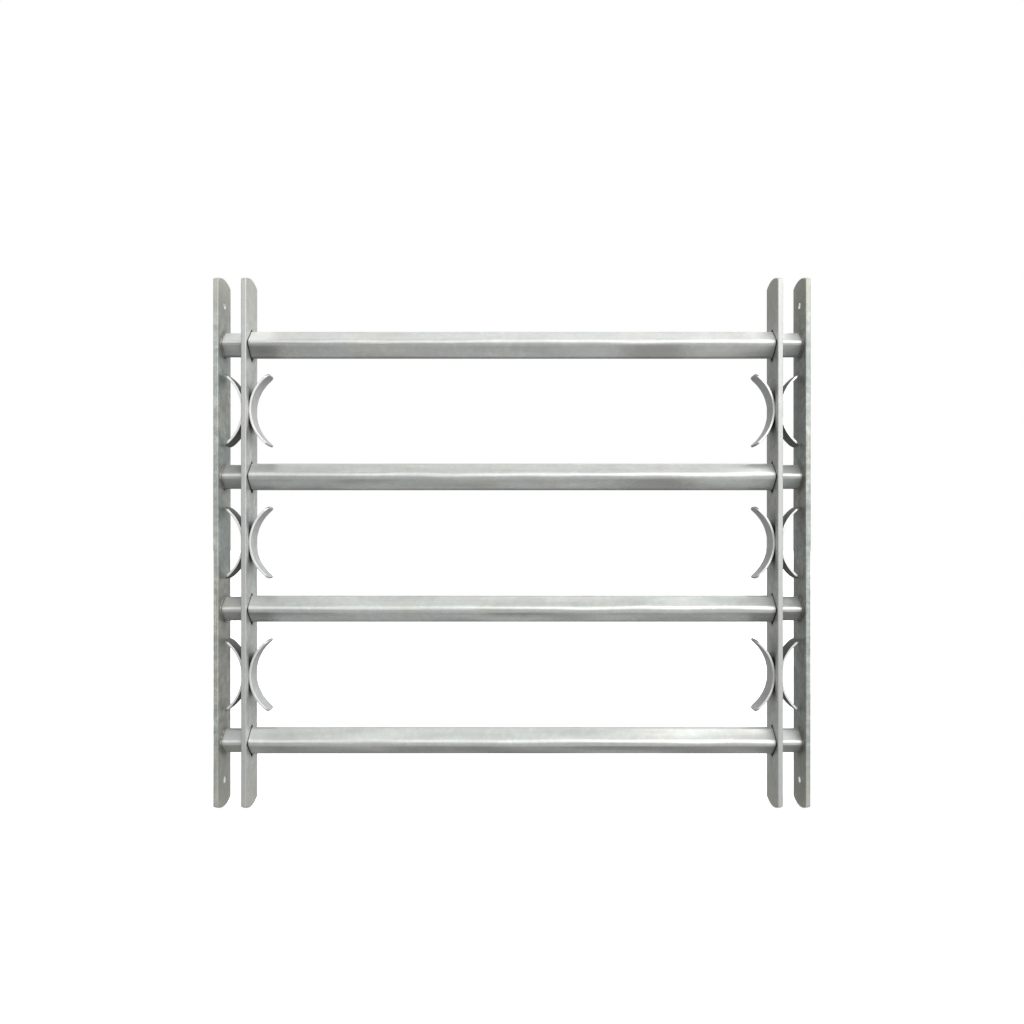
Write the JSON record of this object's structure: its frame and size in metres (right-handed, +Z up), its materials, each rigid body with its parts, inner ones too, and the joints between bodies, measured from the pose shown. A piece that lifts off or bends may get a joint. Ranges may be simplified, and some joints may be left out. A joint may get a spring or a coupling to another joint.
{
  "type": "window security bar",
  "caption": "Width-adjustable steel window grille: telescoping square tubes on their corners, flat wall posts with screw holes, and sliding ornamental posts with bent arcs.",
  "frame": {"origin": "centre of the grille when it is pushed together", "axes": "+X along the tubes to the right, +Y depth away from the front, +Z up along the posts"},
  "size_m": [0.667, 0.04, 0.6],
  "materials": {
    "tube": "galvanised, semi-gloss",
    "post": "galvanised, satin",
    "arc": "galvanised, satin",
    "weld": "rough weld bead, galvanised over"
  },
  "bodies": {
    "centre_tubes": {"centre_tube_1": "tube", "centre_tube_2": "tube", "centre_tube_3": "tube", "centre_tube_4": "tube"},
    "left_side_frame": {"left_side_post": "post", "left_inner_tube_1": "tube", "left_inner_tube_2": "tube", "left_inner_tube_3": "tube", "left_inner_tube_4": "tube", "left_tube_welds": "weld"},
    "left_ornament": {"left_ornament_post": "post", "left_inner_arc_1": "arc", "left_inner_arc_2": "arc", "left_inner_arc_3": "arc", "left_outer_arc_1": "arc", "left_outer_arc_2": "arc", "left_outer_arc_3": "arc"},
    "right_side_frame": {"right_side_post": "post", "right_inner_tube_1": "tube", "right_inner_tube_2": "tube", "right_inner_tube_3": "tube", "right_inner_tube_4": "tube", "right_tube_welds": "weld"},
    "right_ornament": {"right_ornament_post": "post", "right_inner_arc_1": "arc", "right_inner_arc_2": "arc", "right_inner_arc_3": "arc", "right_outer_arc_1": "arc", "right_outer_arc_2": "arc", "right_outer_arc_3": "arc"}
  },
  "joints": [
    {"name": "left_side_frame_slide", "type": "slide", "parent": "centre_tubes", "child": "left_side_frame", "axis": [-1, 0, 0], "range_m": [0, 0.218]},
    {"name": "right_side_frame_slide", "type": "slide", "parent": "centre_tubes", "child": "right_side_frame", "axis": [1, 0, 0], "range_m": [0, 0.218]},
    {"name": "left_ornament_slide", "type": "slide", "parent": "centre_tubes", "child": "left_ornament", "axis": [1, 0, 0], "range_m": [0, 0.238]},
    {"name": "right_ornament_slide", "type": "slide", "parent": "centre_tubes", "child": "right_ornament", "axis": [-1, 0, 0], "range_m": [0, 0.238]}
  ]
}
